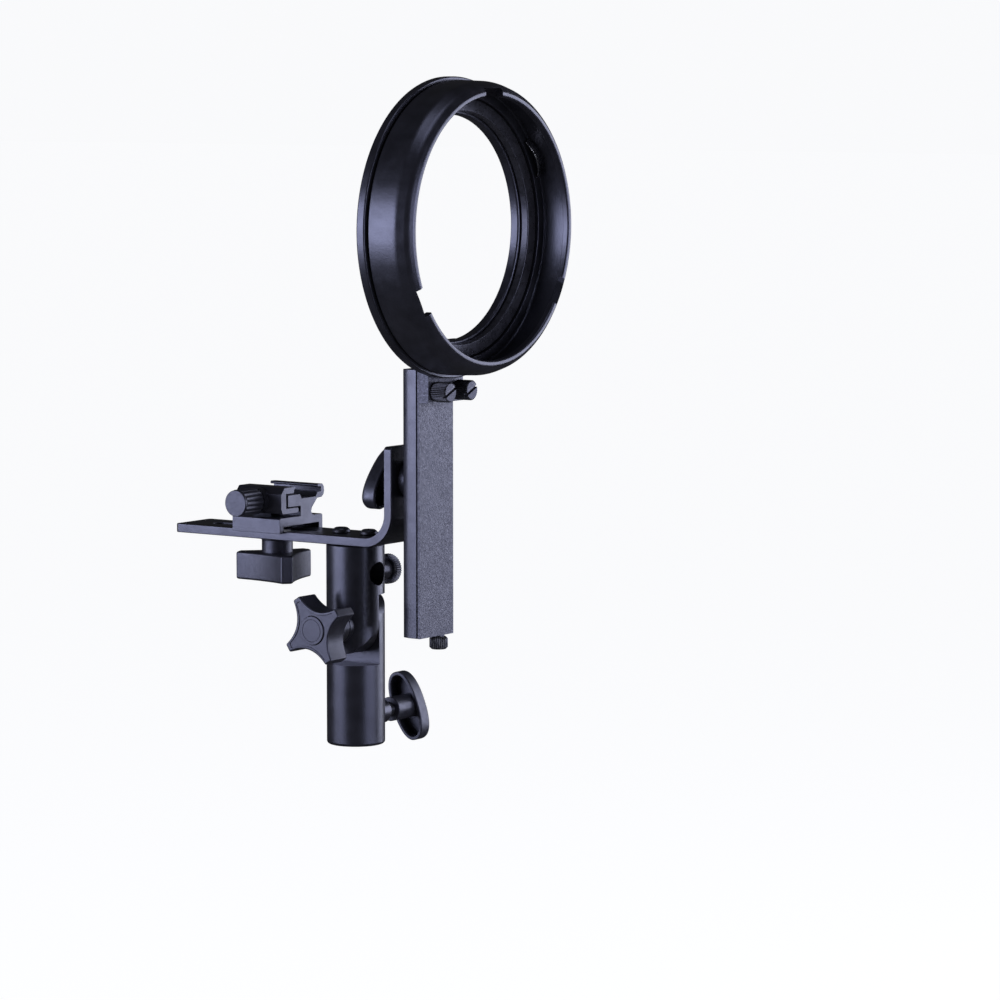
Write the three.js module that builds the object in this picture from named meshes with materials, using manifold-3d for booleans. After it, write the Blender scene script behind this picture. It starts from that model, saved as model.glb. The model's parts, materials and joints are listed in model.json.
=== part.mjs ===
// Umbrella swivel bracket for a camera flash. It clamps on a light stand, holds an umbrella shaft in a
// tilting tube, and carries an L-shaped plate with a cold shoe and an arm with an accessory ring.
// Millimetres, +Z up. The origin is the centre of the stand socket's open lower end, +X is the ring's
// axis, pointing forwards, and -Y is the side of the star knob.
import * as THREE from "three";
import { mergeVertices } from "three/addons/utils/BufferGeometryUtils.js";
import Module from "manifold-3d";

const wasm = await Module();
wasm.setup();

// Driving dimensions
const GAP = 0.3; // between pieces that touch on the real object
const THREAD_GAP = 0.3; // radial gap round a screw in its hole

const TUBE_RADIUS = 13;
const SPIGOT_BORE_RADIUS = 8.1;
const SPIGOT_BORE_DEPTH = 33;
const SOCKET_SHOULDER_Z = 36.4;
const HINGE_Z = 54;
const EAR_HALF_GAP = 0.2; // from the tube's middle plane to the flat face of either ear
const HINGE_BOLT_RADIUS = 3;
const STAND_LOCK_Z = 12;
const STAND_BOSS_END_Y = 20;

const UPPER_SHOULDER_Z = 67.6;
const TUBE_TOP_Z = 89.7;
const UMBRELLA_HOLE_RADIUS = 5.3;
const UMBRELLA_HOLE_Z = 77;
const UMBRELLA_SCREW_Z = 76;

const PLATE_BOTTOM_Z = 90;
const PLATE_THICKNESS = 4;
const PLATE_HALF_WIDTH = 12.5;
const PLATE_LEFT_X = -93;
const LEG_FRONT_X = 29;
const LEG_TOP_Z = 135;
const BEND_RADIUS = 15;
const PLATE_SLOT_HALF_WIDTH = 3.4;
const PLATE_SLOT_X = [-80, -22];
const PLATE_SCREW_X = [-7.8, 7.5];
const PLATE_TOP_Z = PLATE_BOTTOM_Z + PLATE_THICKNESS;

const SHOE_X = -44;
const SHOE_HALF_LENGTH = 13.5;
const SHOE_SCREW_Z = 107.4;
const SEAT_Z = 110; // where the flash's foot rests
const SHOE_KNOB_Z = [70.4, 83];
const SHOE_KNOB_TIP_RADIUS = 18.7;
const JAW_OUTER_Y = -13.9;

const ARM_HALF_WIDTH = 12.6;
const ARM_BACK_X = 34.5;
const ARM_FRONT_X = 44.5;
const ARM_PLATE_THICKNESS = 1.1;
const ARM_Z = [51.5, 169.5];
const ARM_SLOT_HALF_WIDTH = 3.3;
const ARM_CAVITY_HALF_WIDTH = 6;
const ARM_SLOT_TOP_Z = 150;
const ARM_LOCK_Z = 120;
const STOP_SCREW_Y = 8.4;

const FOOT_FRONT_X = 49.6;
const FOOT_Z = [155, 182];
const FOOT_HALF_WIDTH = 13;
const THUMB_SCREW_Z = 160;
const THUMB_SCREW_Y = 8;
const FOOT_SCREW_Z = 174;

const RING_Z = 231;
const RING_PLATE_RADIUS = 65.4;
const RING_OPENING_RADIUS = 49;
const RING_PLATE_X = [49.9, 54.3];
const DOME_RADIUS = 64;
const DOME_X = [55.2, 75.7];
const DOME_LIP_RADIUS = 57;
const DOME_NOTCH_RADIUS = 60.4;
const DOME_NOTCH_WIDTH = 12.7;
const DOME_NOTCH_ANGLES = [90, 210, 330];
const RING_SCREW_RADIUS = 60.6;
const RING_SCREW_ANGLES = [45, 135, 225, 315];

const FINE = 36; // sides of the tube and of the large round pieces
const ROUND = 16; // sides of screws and small round pieces
const RING_SIDES = 48;

// Directions: each maps a shape's own x, y and extrusion onto the object's axes
const ALONG_X = new THREE.Matrix4().makeBasis(
  new THREE.Vector3(0, 1, 0),
  new THREE.Vector3(0, 0, 1),
  new THREE.Vector3(1, 0, 0),
);
const ALONG_Y = new THREE.Matrix4().makeBasis(
  new THREE.Vector3(0, 0, 1),
  new THREE.Vector3(1, 0, 0),
  new THREE.Vector3(0, 1, 0),
);
const ALONG_Z = new THREE.Matrix4();

// A closed geometry as a solid that can be joined and cut.
function solid(geometry) {
  const bare = geometry.clone();
  bare.deleteAttribute("normal");
  bare.deleteAttribute("uv");
  const merged = mergeVertices(bare, 1e-4);
  return new wasm.Manifold(
    new wasm.Mesh({
      numProp: 3,
      vertProperties: merged.attributes.position.array,
      triVerts: new Uint32Array(merged.index.array),
    }),
  );
}

// A box between limits, turned by `degrees` round the X axis.
function box([x0, x1], [y0, y1], [z0, z1], degrees = 0) {
  const geometry = new THREE.BoxGeometry(x1 - x0, y1 - y0, z1 - z0);
  geometry.translate((x0 + x1) / 2, (y0 + y1) / 2, (z0 + z1) / 2);
  return solid(geometry.rotateX(THREE.MathUtils.degToRad(degrees)));
}

// A closed outline of [across, up] points, extruded along one axis from `from` to `to`. Across and up
// are Y and Z along X, Z and X along Y, and X and Y along Z.
function prism(direction, outline, from, to) {
  const points = Array.isArray(outline) && outline.map((point) => new THREE.Vector2(...point));
  const shape = points ? new THREE.Shape(points) : outline;
  const settings = { depth: to - from, bevelEnabled: false, curveSegments: 12 };
  const geometry = new THREE.ExtrudeGeometry(shape, settings);
  return solid(geometry.translate(0, 0, from).applyMatrix4(direction));
}

// A round piece: [radius, along] points from one end to the other, starting and ending on the axis,
// or closing on themselves, turned round an axis through `centre`.
function turned(direction, profile, centre = [0, 0, 0], sides = ROUND) {
  const points = profile.map(([radius, along]) => new THREE.Vector2(radius, along));
  const geometry = new THREE.LatheGeometry(points, sides);
  geometry.rotateX(Math.PI / 2);
  return solid(geometry.applyMatrix4(direction).translate(...centre));
}

function rod(direction, radius, from, to, centre = [0, 0, 0], sides = ROUND, bevel = 0) {
  const profile = [[0, from], [radius - bevel, from], [radius, from + bevel]];
  profile.push([radius, to - bevel], [radius - bevel, to], [0, to]);
  const plain = profile.filter((p, i) => i !== 2 && i !== 3);
  return turned(direction, bevel ? profile : plain, centre, sides);
}

function joined(...solids) {
  return solids.reduce((whole, next) => whole.add(next));
}

function roundedOutline(points, radius) {
  const shape = new THREE.Shape();
  points.forEach((corner, i) => {
    const before = points.at(i - 1);
    const after = points[(i + 1) % points.length];
    const towards = (p) => {
      const [dx, dy] = [p[0] - corner[0], p[1] - corner[1]];
      const step = Math.min(radius, Math.hypot(dx, dy) * 0.45) / Math.hypot(dx, dy);
      return [corner[0] + dx * step, corner[1] + dy * step];
    };
    const [start, end] = [towards(before), towards(after)];
    if (i === 0) shape.moveTo(...start);
    else shape.lineTo(...start);
    shape.quadraticCurveTo(...corner, ...end);
  });
  shape.closePath();
  return shape;
}

// Materials: black powder-coated metal, black moulded plastic and plain steel
const COATED = { color: "#2b2b33", roughness: 0.5, metalness: 0.3 };
const ANODISED = { color: "#25252c", roughness: 0.38, metalness: 0.5 };
const MOULDED = { color: "#202026", roughness: 0.55, metalness: 0 };
const STEEL = { color: "#9a9a9e", roughness: 0.3, metalness: 1 };
const BLACKENED = { color: "#1c1c20", roughness: 0.4, metalness: 0.8 };

function piece(name, whole, material) {
  const made = whole.getMesh();
  const geometry = new THREE.BufferGeometry();
  geometry.setAttribute("position", new THREE.BufferAttribute(made.vertProperties, 3));
  geometry.setIndex(new THREE.BufferAttribute(made.triVerts, 1));
  geometry.computeVertexNormals();
  const mesh = new THREE.Mesh(geometry, new THREE.MeshStandardMaterial(material));
  mesh.name = name;
  return mesh;
}

function group(...members) {
  const made = new THREE.Group();
  made.add(...members);
  return made;
}

// The lower tube: a stand socket below, and above it the rear half of the tube as the hinge's ear.
function standSocket() {
  const [r, edge] = [TUBE_RADIUS, 1.2];
  const body = turned(
    ALONG_Z,
    [[0, 0], [r - edge, 0], [r, edge], [r, SOCKET_SHOULDER_Z - 0.6], [r - 0.6, SOCKET_SHOULDER_Z],
      [0, SOCKET_SHOULDER_Z]],
    [0, 0, 0],
    FINE,
  );
  const ear = joined(
    rod(ALONG_Z, r, SOCKET_SHOULDER_Z - 1, HINGE_Z, [0, 0, 0], FINE),
    rod(ALONG_Z, r, HINGE_Z, HINGE_Z + r, [0, 0, 0], FINE).intersect(
      rod(ALONG_Y, r, -r, r, [0, 0, HINGE_Z], FINE),
    ),
  ).intersect(box([-r, r], [EAR_HALF_GAP, r], [0, HINGE_Z + r]));
  const bushing = rod(ALONG_Y, 5.4, 10, STAND_BOSS_END_Y, [0, 0, STAND_LOCK_Z], ROUND, 0.6);
  const bore = turned(
    ALONG_Z,
    [[0, -1], [SPIGOT_BORE_RADIUS + 1.6, -1], [SPIGOT_BORE_RADIUS, 0.6],
      [SPIGOT_BORE_RADIUS, SPIGOT_BORE_DEPTH], [0, SPIGOT_BORE_DEPTH]],
    [0, 0, 0],
    FINE / 2,
  );
  return piece(
    "stand_socket",
    joined(body, ear, bushing)
      .subtract(bore)
      .subtract(rod(ALONG_Y, HINGE_BOLT_RADIUS + THREAD_GAP, -2, r + 2, [0, 0, HINGE_Z]))
      .subtract(rod(ALONG_Y, 3 + THREAD_GAP, 2, 24, [0, 0, STAND_LOCK_Z])),
    COATED,
  );
}

// The upper tube: its front half reaches down as the other ear, and the umbrella's shaft goes through it.
function umbrellaTube() {
  const r = TUBE_RADIUS;
  const body = turned(
    ALONG_Z,
    [[0, UPPER_SHOULDER_Z], [r - 1, UPPER_SHOULDER_Z], [r, UPPER_SHOULDER_Z + 1], [r, TUBE_TOP_Z - 0.6],
      [r - 0.6, TUBE_TOP_Z], [0, TUBE_TOP_Z]],
    [0, 0, 0],
    FINE,
  );
  const ear = joined(
    rod(ALONG_Z, r, HINGE_Z, UPPER_SHOULDER_Z + 2, [0, 0, 0], FINE),
    rod(ALONG_Z, r, HINGE_Z - r, HINGE_Z, [0, 0, 0], FINE).intersect(
      rod(ALONG_Y, r, -r, r, [0, 0, HINGE_Z], FINE),
    ),
  ).intersect(box([-r, r], [-r, -EAR_HALF_GAP], [HINGE_Z - r, TUBE_TOP_Z]));
  const seat = rod(ALONG_Y, 7.4, -r - 0.6, -6, [0, 0, HINGE_Z]);
  let tube = joined(body, ear, seat)
    .subtract(rod(ALONG_Y, HINGE_BOLT_RADIUS + THREAD_GAP, -r - 2, 2, [0, 0, HINGE_Z]))
    .subtract(rod(ALONG_X, UMBRELLA_HOLE_RADIUS, -r - 1, r + 1, [0, 0, UMBRELLA_HOLE_Z], 32))
    .subtract(rod(ALONG_Y, 2.5 + THREAD_GAP, 3, r + 1, [0, 0, UMBRELLA_SCREW_Z]));
  for (const x of PLATE_SCREW_X)
    tube = tube.subtract(rod(ALONG_Z, 2 + THREAD_GAP, TUBE_TOP_Z - 6.5, TUBE_TOP_Z + 1, [x, 0, 0], 16));
  return piece("umbrella_tube", tube, COATED);
}

// Knobs

// A knob's outline with pointed lobes: `lobes` tips of a given half width, joined by hollow sides.
function lobedOutline(lobes, tipRadius, waistRadius, tipHalfWidth, turn) {
  const shape = new THREE.Shape();
  for (let i = 0; i < lobes; i++) {
    const at = (angle, radius, across) => {
      const a = turn + angle;
      return [radius * Math.cos(a) - across * Math.sin(a), radius * Math.sin(a) + across * Math.cos(a)];
    };
    const angle = (i * 2 * Math.PI) / lobes;
    const half = Math.PI / lobes;
    const start = at(angle, tipRadius, -tipHalfWidth);
    if (i === 0) shape.moveTo(...start);
    shape.lineTo(...at(angle, tipRadius, tipHalfWidth));
    const pull = 2 * waistRadius - tipRadius * Math.cos(half) - tipHalfWidth * Math.sin(half);
    const next = at(angle + 2 * half, tipRadius, -tipHalfWidth);
    shape.quadraticCurveTo(...at(angle + half, pull, 0), ...next);
  }
  return shape;
}

// A fluted knob's outline: shallow round grooves between its lobes.
function flutedOutline(lobes, outer, groove, pointsPerLobe = 4) {
  const count = lobes * pointsPerLobe;
  const [middle, swing] = [(outer + groove) / 2, (outer - groove) / 2];
  return Array.from({ length: count }, (_, i) => {
    const radius = middle + swing * Math.cos((2 * Math.PI * i) / pointsPerLobe);
    const angle = (2 * Math.PI * i) / count;
    return [radius * Math.cos(angle), radius * Math.sin(angle)];
  });
}

const STAR = { front: -32, back: -20, tip: 16.3, waist: 9, tipHalfWidth: 2 };
const STAR_TURN = THREE.MathUtils.degToRad(57);

function starKnob() {
  const outline = lobedOutline(4, STAR.tip, STAR.waist, STAR.tipHalfWidth, STAR_TURN);
  const body = prism(ALONG_Y, outline, STAR.front, STAR.back);
  const hub = rod(ALONG_Y, 8, STAR.back, STAR.back + 2.4);
  const cap = rod(ALONG_Y, 6.7, STAR.front - 1, STAR.front + 1.2);
  const hole = rod(ALONG_Y, HINGE_BOLT_RADIUS + GAP, STAR.front + 6, STAR.back + 3);
  return piece("star_knob", joined(body, hub).subtract(cap).subtract(hole), MOULDED);
}

function starKnobCap() {
  const disc = rod(ALONG_Y, 6.4, STAR.front - 0.3, STAR.front + 0.9, [0, 0, 0], ROUND, 0.3);
  return piece("star_knob_cap", disc, MOULDED);
}

function hingeBolt() {
  const ends = [STAR.front + 6.3, TUBE_RADIUS - 1.2];
  const shank = rod(ALONG_Y, HINGE_BOLT_RADIUS, ...ends, [0, 0, 0], ROUND, 0.5);
  return piece("hinge_bolt", shank, BLACKENED);
}

function hingeWasher() {
  const [inner, outer, from, to] = [HINGE_BOLT_RADIUS + GAP, 7.4, STAR.back + 2.7, -TUBE_RADIUS - 0.9];
  const profile = [[inner, from], [outer, from], [outer, to], [inner, to], [inner, from]];
  return piece("hinge_washer", turned(ALONG_Y, profile), BLACKENED);
}

// A wing knob, made round +Z: an oval rim that is hollow on its inner side, with a hub for its screw.
const WING = { halfLength: 16.2, halfWidth: 7.4, rim: 8.4, hubRadius: 5.5, wall: 1.7 };

function wingOutline(inset, count = 28) {
  const [a, b] = [WING.halfLength - inset, WING.halfWidth - inset];
  const power = 2 / 2.3;
  return Array.from({ length: count }, (_, i) => {
    const angle = (2 * Math.PI * i) / count;
    const [c, s] = [Math.cos(angle), Math.sin(angle)];
    return [a * Math.sign(c) * Math.abs(c) ** power, b * Math.sign(s) * Math.abs(s) ** power];
  });
}

function wingKnob(name, hubLength) {
  const floor = 2.4;
  const base = hubLength - WING.rim;
  const rim = prism(ALONG_Z, wingOutline(0), base, base + WING.rim - 1);
  const crown = prism(ALONG_Z, wingOutline(0.8), base + WING.rim - 1, base + WING.rim);
  const hollow = prism(ALONG_Z, wingOutline(WING.wall), base - 1, base + WING.rim - floor);
  const hub = rod(ALONG_Z, WING.hubRadius, 0, hubLength - 1);
  const hole = rod(ALONG_Z, 3 + GAP, -1, hubLength - 3);
  return piece(name, joined(rim, crown).subtract(hollow).add(hub).subtract(hole), MOULDED);
}

function stud(name, radius, from, to) {
  return piece(name, rod(ALONG_Z, radius, from, to, [0, 0, 0], ROUND, 0.5), BLACKENED);
}

// A group whose +Z points along `direction`, turned by `turn` about it.
function facing(direction, position, turn, ...members) {
  const made = group(...members);
  made.quaternion.setFromUnitVectors(new THREE.Vector3(0, 0, 1), new THREE.Vector3(...direction));
  made.quaternion.multiply(new THREE.Quaternion().setFromAxisAngle(new THREE.Vector3(0, 0, 1), turn));
  made.position.set(...position);
  return made;
}

const STAND_LOCK_KNOB_Y = 25.2; // where the knob's hub begins
const STAND_LOCK_HUB_LENGTH = 19.9;
const ARM_LOCK_KNOB_X = 23.4;
const ARM_LOCK_HUB_LENGTH = 12.2;

function standLock() {
  const position = [0, STAND_LOCK_KNOB_Y, STAND_LOCK_Z];
  const turn = THREE.MathUtils.degToRad(68);
  const tip = SPIGOT_BORE_RADIUS + 0.4 - STAND_LOCK_KNOB_Y;
  const screw = stud("stand_lock_screw", 3, tip, STAND_LOCK_HUB_LENGTH - 3.3);
  const knob = wingKnob("stand_lock_knob", STAND_LOCK_HUB_LENGTH);
  return facing([0, 1, 0], position, turn, knob, screw);
}

function armLock() {
  const turn = THREE.MathUtils.degToRad(42);
  const tip = ARM_LOCK_KNOB_X - ARM_BACK_X - 4.2;
  const screw = stud("arm_lock_screw", 3, tip, ARM_LOCK_HUB_LENGTH - 3.3);
  const knob = wingKnob("arm_lock_knob", ARM_LOCK_HUB_LENGTH);
  return facing([-1, 0, 0], [ARM_LOCK_KNOB_X, 0, ARM_LOCK_Z], turn, knob, screw);
}

function umbrellaScrew() {
  const head = prism(ALONG_Y, flutedOutline(24, 6.8, 6.4, 2), 21.4, 26.2);
  const hub = rod(ALONG_Y, 4.6, 15, 21.4);
  const shank = rod(ALONG_Y, 2.5, 5.9, 18);
  const screw = joined(head, hub, shank);
  const made = piece("umbrella_screw", screw, ANODISED);
  made.position.set(0, 0, UMBRELLA_SCREW_Z);
  return made;
}

// The L-shaped plate
function lPlate() {
  const [bottom, top, thick] = [PLATE_BOTTOM_Z, PLATE_TOP_Z, PLATE_THICKNESS];
  const bendX = LEG_FRONT_X - BEND_RADIUS;
  const bendZ = bottom + BEND_RADIUS;
  const inner = BEND_RADIUS - thick;
  const side = new THREE.Shape(); // its x is the object's Z and its y is X, as ALONG_Y maps them
  side.moveTo(bottom, PLATE_LEFT_X);
  side.lineTo(top, PLATE_LEFT_X);
  side.lineTo(top, bendX);
  side.absarc(bendZ, bendX, inner, Math.PI, Math.PI / 2, true);
  side.lineTo(LEG_TOP_Z, LEG_FRONT_X - thick);
  side.lineTo(LEG_TOP_Z, LEG_FRONT_X);
  side.lineTo(bendZ, LEG_FRONT_X);
  side.absarc(bendZ, bendX, BEND_RADIUS, Math.PI / 2, Math.PI, false);
  let plate = prism(ALONG_Y, side, -PLATE_HALF_WIDTH, PLATE_HALF_WIDTH);
  const corner = 1.8;
  const plan = roundedOutline(
    [[PLATE_LEFT_X, -PLATE_HALF_WIDTH], [LEG_FRONT_X + 10, -PLATE_HALF_WIDTH],
      [LEG_FRONT_X + 10, PLATE_HALF_WIDTH], [PLATE_LEFT_X, PLATE_HALF_WIDTH]],
    corner,
  );
  const front = roundedOutline(
    [[-PLATE_HALF_WIDTH, bottom - 20], [PLATE_HALF_WIDTH, bottom - 20], [PLATE_HALF_WIDTH, LEG_TOP_Z],
      [-PLATE_HALF_WIDTH, LEG_TOP_Z]],
    corner,
  );
  plate = plate.intersect(prism(ALONG_Z, plan, bottom - 1, LEG_TOP_Z + 1));
  plate = plate.intersect(prism(ALONG_X, front, PLATE_LEFT_X - 1, LEG_FRONT_X + 1));
  const w = PLATE_SLOT_HALF_WIDTH;
  const slot = joined(
    box([PLATE_SLOT_X[0] + w, PLATE_SLOT_X[1] - w], [-w, w], [bottom - 1, top + 1]),
    ...PLATE_SLOT_X.map((x, i) => rod(ALONG_Z, w, bottom - 1, top + 1, [x + (i ? -w : w), 0, 0])),
  );
  plate = plate.subtract(slot);
  for (const x of PLATE_SCREW_X)
    plate = plate.subtract(rod(ALONG_Z, 2 + THREAD_GAP, bottom - 1, top + 1, [x, 0, 0], 16));
  const legX = [LEG_FRONT_X - thick - 1, LEG_FRONT_X + 1];
  const lockHole = rod(ALONG_X, 3 + THREAD_GAP, ...legX, [0, 0, ARM_LOCK_Z]);
  return piece("l_plate", plate.subtract(lockHole), COATED);
}

function plateScrew(index) {
  const head = [[0, 0.3], [3.6, 0.3], [4, 0.9], [3.6, 1.9], [2.4, 2.5], [0, 2.5]];
  const socket = prism(ALONG_Z, hexagon(1.3), 1, 4);
  const shank = rod(ALONG_Z, 2, -9.8, 0.6, [0, 0, 0], 16);
  const screw = joined(turned(ALONG_Z, head), shank).subtract(socket);
  const made = piece("plate_screw_" + (index + 1), screw, BLACKENED);
  made.position.set(PLATE_SCREW_X[index], 0, PLATE_TOP_Z);
  return made;
}

function hexagon(inner) {
  const corner = inner / Math.cos(Math.PI / 6);
  return Array.from({ length: 6 }, (_, i) => {
    const angle = (i * Math.PI) / 3;
    return [corner * Math.cos(angle), corner * Math.sin(angle)];
  });
}

// The cold shoe: a slider that straddles the plate, with a fixed hook on one side and a jaw on the other
function shoeBase() {
  const outline = [
    [-15.4, 93.2], [-12.9, 93.2], [-12.9, 96.2], [13.2, 96.2], [13.2, 93.2], [15.9, 93.2], [15.9, 99.3],
    [15.3, 99.9], [9.2, 99.9], [8.2, 100.4], [7.7, 101.6], [8.2, 103.2], [12.1, 107.2], [15.4, 107.4],
    [16.9, 108.6], [17.3, 110.3], [17, 112.2], [16, 113.4], [12.6, 113.5], [12.2, 112.8], [12.5, 112.2],
    [14.8, 112.2], [14.8, SEAT_Z], [12.2, SEAT_Z], [11, 108], [0.6, 108], [-0.6, SEAT_Z], [-9.4, SEAT_Z],
    [-9.4, 104.6], [-0.2, 104.6], [-0.2, 100.1], [-14.9, 100.1], [-15.4, 99.6],
  ];
  const rail = prism(ALONG_X, outline, SHOE_X - SHOE_HALF_LENGTH, SHOE_X + SHOE_HALF_LENGTH);
  const jawScrewHole = rod(ALONG_Y, 2 + THREAD_GAP, -10, 3, [SHOE_X, 0, SHOE_SCREW_Z], 16);
  const boltHole = rod(ALONG_Z, 3 + THREAD_GAP, 90, 104, [SHOE_X, 0, 0]);
  const boltPocket = box([SHOE_X - 5.3, SHOE_X + 5.3], [-5.3, 5.3], [92, 98.4]);
  return piece("shoe_base", rail.subtract(jawScrewHole).subtract(boltPocket).subtract(boltHole), COATED);
}

function shoeBolt() {
  const head = box([-5, 5], [-5, 5], [PLATE_TOP_Z + GAP, 98.1]);
  const shank = rod(ALONG_Z, 3, 74.5, 96);
  const made = piece("shoe_bolt", joined(head, shank), STEEL);
  made.position.x = SHOE_X;
  return made;
}

function shoeKnob() {
  const [bottom, top] = SHOE_KNOB_Z;
  const turn = THREE.MathUtils.degToRad(-38.5);
  const body = prism(ALONG_Z, lobedOutline(3, SHOE_KNOB_TIP_RADIUS, 10.2, 2.6, turn), bottom, top);
  const neck = rod(ALONG_Z, 7, top - 1, 89.2 - GAP);
  const hole = rod(ALONG_Z, 3 + GAP, 74, 91);
  const made = piece("shoe_knob", joined(body, neck).subtract(hole), MOULDED);
  made.position.x = SHOE_X;
  return made;
}

function shoeWasher() {
  const [inner, outer, from, to] = [3 + GAP, 8, 89.1, PLATE_BOTTOM_Z - GAP];
  const profile = [[inner, from], [outer, from], [outer, to], [inner, to], [inner, from]];
  const made = piece("shoe_washer", turned(ALONG_Z, profile), BLACKENED);
  made.position.x = SHOE_X;
  return made;
}

function shoeJaw() {
  const outline = [
    [-11.4, 113.5], [JAW_OUTER_Y, 110.6], [JAW_OUTER_Y, 104], [-12.8, 101.8], [-2, 101.8], [-1.3, 102.4],
    [-1.3, 103.5], [-2, 104.1], [-10.3, 104.1], [-10.3, 110.7], [-4.9, 110.7], [-3.7, 113.5],
  ];
  const ends = [SHOE_X - SHOE_HALF_LENGTH + 0.8, SHOE_X + SHOE_HALF_LENGTH - 0.3];
  const boss = rod(ALONG_Y, 6, -16.3, JAW_OUTER_Y + 1, [SHOE_X, 0, SHOE_SCREW_Z]);
  const hole = rod(ALONG_Y, 2 + THREAD_GAP, -18, -8, [SHOE_X, 0, SHOE_SCREW_Z], 16);
  return piece("shoe_jaw", joined(prism(ALONG_X, outline, ...ends), boss).subtract(hole), COATED);
}

function jawKnob() {
  const [front, back] = [-30.2, -16.6];
  const body = prism(ALONG_Y, flutedOutline(12, 6.1, 5.6), front, back);
  const hole = rod(ALONG_Y, 2 + GAP, front + 4, back + 1, [0, 0, 0], 16);
  const made = piece("jaw_knob", body.subtract(hole), MOULDED);
  made.position.set(SHOE_X, 0, SHOE_SCREW_Z);
  return made;
}

function jawScrew() {
  const made = piece("jaw_screw", rod(ALONG_Y, 2, -25.9, 2.4, [0, 0, 0], 16), STEEL);
  made.position.set(SHOE_X, 0, SHOE_SCREW_Z);
  return made;
}

// The arm that carries the ring: a slotted channel with a front plate, clamped on the leg by a nut
function armSpacer() {
  const [inner, outer, from, to] = [3 + THREAD_GAP, 8, LEG_FRONT_X + GAP, ARM_BACK_X - GAP];
  const profile = [[inner, from], [outer, from], [outer, to], [inner, to], [inner, from]];
  return piece("arm_spacer", turned(ALONG_X, profile, [0, 0, ARM_LOCK_Z]), MOULDED);
}

function armNut() {
  const clearance = 0.3;
  const nutZ = [ARM_LOCK_Z - 7, ARM_LOCK_Z + 7];
  const tongue = box([ARM_BACK_X + 0.2, ARM_BACK_X + 3], [-3, 3], nutZ);
  const half = ARM_CAVITY_HALF_WIDTH - clearance;
  const plate = box([ARM_BACK_X + 2.3, ARM_BACK_X + 4.8], [-half, half], nutZ);
  const hole = rod(ALONG_X, 3 + THREAD_GAP, ARM_BACK_X - 1, ARM_BACK_X + 6, [0, 0, ARM_LOCK_Z]);
  return piece("arm_nut", joined(tongue, plate).subtract(hole), STEEL);
}

function armChannel() {
  const [bottom, top] = ARM_Z;
  const front = ARM_FRONT_X - ARM_PLATE_THICKNESS - GAP;
  const w = ARM_HALF_WIDTH;
  const outline = [
    [-w + 0.6, front], [-w, front - 0.4], [-w, ARM_BACK_X + 4], [-w + 1.1, ARM_BACK_X + 0.8],
    [-w + 1.8, ARM_BACK_X], [w - 1.8, ARM_BACK_X], [w - 1.1, ARM_BACK_X + 0.8], [w, ARM_BACK_X + 4],
    [w, front - 0.4], [w - 0.6, front],
  ];
  let channel = prism(ALONG_Z, outline.map(([y, x]) => [x, y]), bottom, top);
  const slot = ARM_SLOT_HALF_WIDTH;
  const cavity = ARM_CAVITY_HALF_WIDTH;
  const [slotBottom, slotTop] = [bottom + 4, ARM_SLOT_TOP_Z];
  const slotZ = [slotBottom, slotTop];
  channel = channel.subtract(box([ARM_BACK_X - 1, ARM_BACK_X + 3], [-slot, slot], slotZ));
  channel = channel.subtract(box([ARM_BACK_X + 2, ARM_BACK_X + 5.1], [-cavity, cavity], slotZ));
  const stopHole = [(ARM_BACK_X + ARM_FRONT_X) / 2, STOP_SCREW_Y, 0];
  channel = channel.subtract(rod(ALONG_Z, 1.6 + THREAD_GAP, bottom - 1, bottom + 9, stopHole, 16));
  for (const y of [-THUMB_SCREW_Y, THUMB_SCREW_Y]) {
    const at = [0, y, THUMB_SCREW_Z];
    channel = channel.subtract(rod(ALONG_X, 2 + THREAD_GAP, ARM_BACK_X + 2, ARM_FRONT_X, at, 16));
  }
  return piece("arm_channel", channel, COATED);
}

function armFrontPlate() {
  const w = ARM_HALF_WIDTH;
  const from = ARM_FRONT_X - ARM_PLATE_THICKNESS;
  let plate = box([from, ARM_FRONT_X], [-w, w], ARM_Z);
  for (const y of [-THUMB_SCREW_Y, THUMB_SCREW_Y]) {
    const at = [0, y, THUMB_SCREW_Z];
    plate = plate.subtract(rod(ALONG_X, 2 + THREAD_GAP, from - 1, ARM_FRONT_X + 1, at, 16));
  }
  return piece("arm_front_plate", plate, COATED);
}

function stopScrew() {
  const head = prism(ALONG_Z, flutedOutline(18, 4.1, 3.8, 2), -6.9, -1.3);
  const neck = rod(ALONG_Z, 2.6, -1.4, -GAP, [0, 0, 0], 16);
  const shank = rod(ALONG_Z, 1.6, -1, 8, [0, 0, 0], 16);
  const made = piece("arm_stop_screw", joined(head, neck, shank), BLACKENED);
  made.position.set((ARM_BACK_X + ARM_FRONT_X) / 2, STOP_SCREW_Y, ARM_Z[0]);
  return made;
}

// The ring's foot and its two thumb screws
function ringFoot() {
  const w = FOOT_HALF_WIDTH;
  const end = FOOT_FRONT_X + 1;
  let foot = box([ARM_FRONT_X + GAP, FOOT_FRONT_X], [-w, w], FOOT_Z);
  for (const y of [-THUMB_SCREW_Y, THUMB_SCREW_Y]) {
    const [thumb, screw] = [[0, y, THUMB_SCREW_Z], [0, y, FOOT_SCREW_Z]];
    foot = foot.subtract(rod(ALONG_X, 2 + THREAD_GAP, ARM_FRONT_X - 1, end, thumb, 16));
    foot = foot.subtract(rod(ALONG_X, 1.5 + THREAD_GAP, ARM_FRONT_X + 1, end, screw, 16));
  }
  return piece("ring_foot", foot, COATED);
}

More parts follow.
